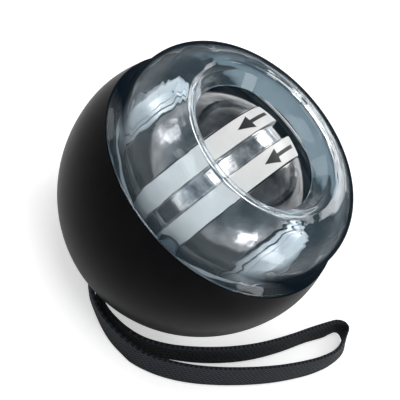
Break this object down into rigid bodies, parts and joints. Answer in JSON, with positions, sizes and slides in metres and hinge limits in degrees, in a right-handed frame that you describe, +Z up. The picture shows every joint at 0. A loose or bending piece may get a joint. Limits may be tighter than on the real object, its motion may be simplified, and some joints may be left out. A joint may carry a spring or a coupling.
{
  "type": "gyroscopic wrist ball",
  "caption": "Hand-held gyroscope ball for wrist exercise: clear shell with a dished thumb opening over a spinning rotor, rubber grip cover and wrist strap.",
  "frame": {"origin": "centre of the flat foot of the grip cover, on the floor", "axes": "+Z up along the ball's axis through the thumb opening; X along the rotor's axle as stored, with the starter spring on the +X side; the strap leaves the foot on the -Y side"},
  "size_m": [0.0971, 0.0838, 0.0601],
  "materials": {
    "clear_shell": "polished clear",
    "inner_cup": "moulded",
    "grip_rubber": "satin",
    "webbing": "woven",
    "nylon": "moulded",
    "silver_plastic": "satin",
    "bronze": "sintered",
    "steel": "bright",
    "spring_steel": "blued",
    "chromed_metal": "plated",
    "white_band": "smooth",
    "dark_polished": "plated dark, mirror smooth"
  },
  "bodies": {
    "housing": {"upper_shell": "clear_shell", "lower_shell": "inner_cup", "grip_cover": "grip_rubber", "strap_pin": "steel", "wrist_strap": "webbing"},
    "ring": {"race_ring": "nylon", "spring_case": "silver_plastic", "spring_case_plate": "silver_plastic", "bearing_case": "silver_plastic", "bearing_case_plate": "silver_plastic", "spring_bush": "bronze", "bearing_bush": "bronze", "spring_case_screw_1": "steel", "spring_case_screw_2": "steel", "spring_case_screw_3": "steel", "bearing_case_screw_1": "steel", "bearing_case_screw_2": "steel", "bearing_case_screw_3": "steel", "mainspring": "spring_steel"},
    "starter": {"spring_arbor": "nylon", "pawl_pin_1": "steel", "pawl_pin_2": "steel"},
    "first_pawl": {"pawl_1": "steel"},
    "second_pawl": {"pawl_2": "steel"},
    "rotor": {"rotor_core": "chromed_metal", "stripe_band_left": "white_band", "stripe_band_right": "white_band", "rotor_dome_left": "dark_polished", "rotor_dome_right": "dark_polished", "axle": "steel", "ratchet_wheel": "steel"}
  },
  "joints": [
    {"name": "precession", "type": "hinge", "parent": "housing", "child": "ring", "pos_m": [0, 0, 0.034], "axis": [0, 0, 1], "continuous": true},
    {"name": "rotor_spin", "type": "hinge", "parent": "ring", "child": "rotor", "pos_m": [0, 0, 0.034], "axis": [1, 0, 0], "continuous": true},
    {"name": "starter_wind", "type": "hinge", "parent": "ring", "child": "starter", "pos_m": [0, 0, 0.034], "axis": [1, 0, 0], "range_deg": [0, 540]},
    {"name": "first_pawl_swing", "type": "hinge", "parent": "starter", "child": "first_pawl", "pos_m": [0.02465, -0.0034, 0.03845], "axis": [1, 0, 0], "range_deg": [-12, 0]},
    {"name": "second_pawl_swing", "type": "hinge", "parent": "starter", "child": "second_pawl", "pos_m": [0.02465, 0.0034, 0.02955], "axis": [1, 0, 0], "range_deg": [-12, 0]}
  ]
}
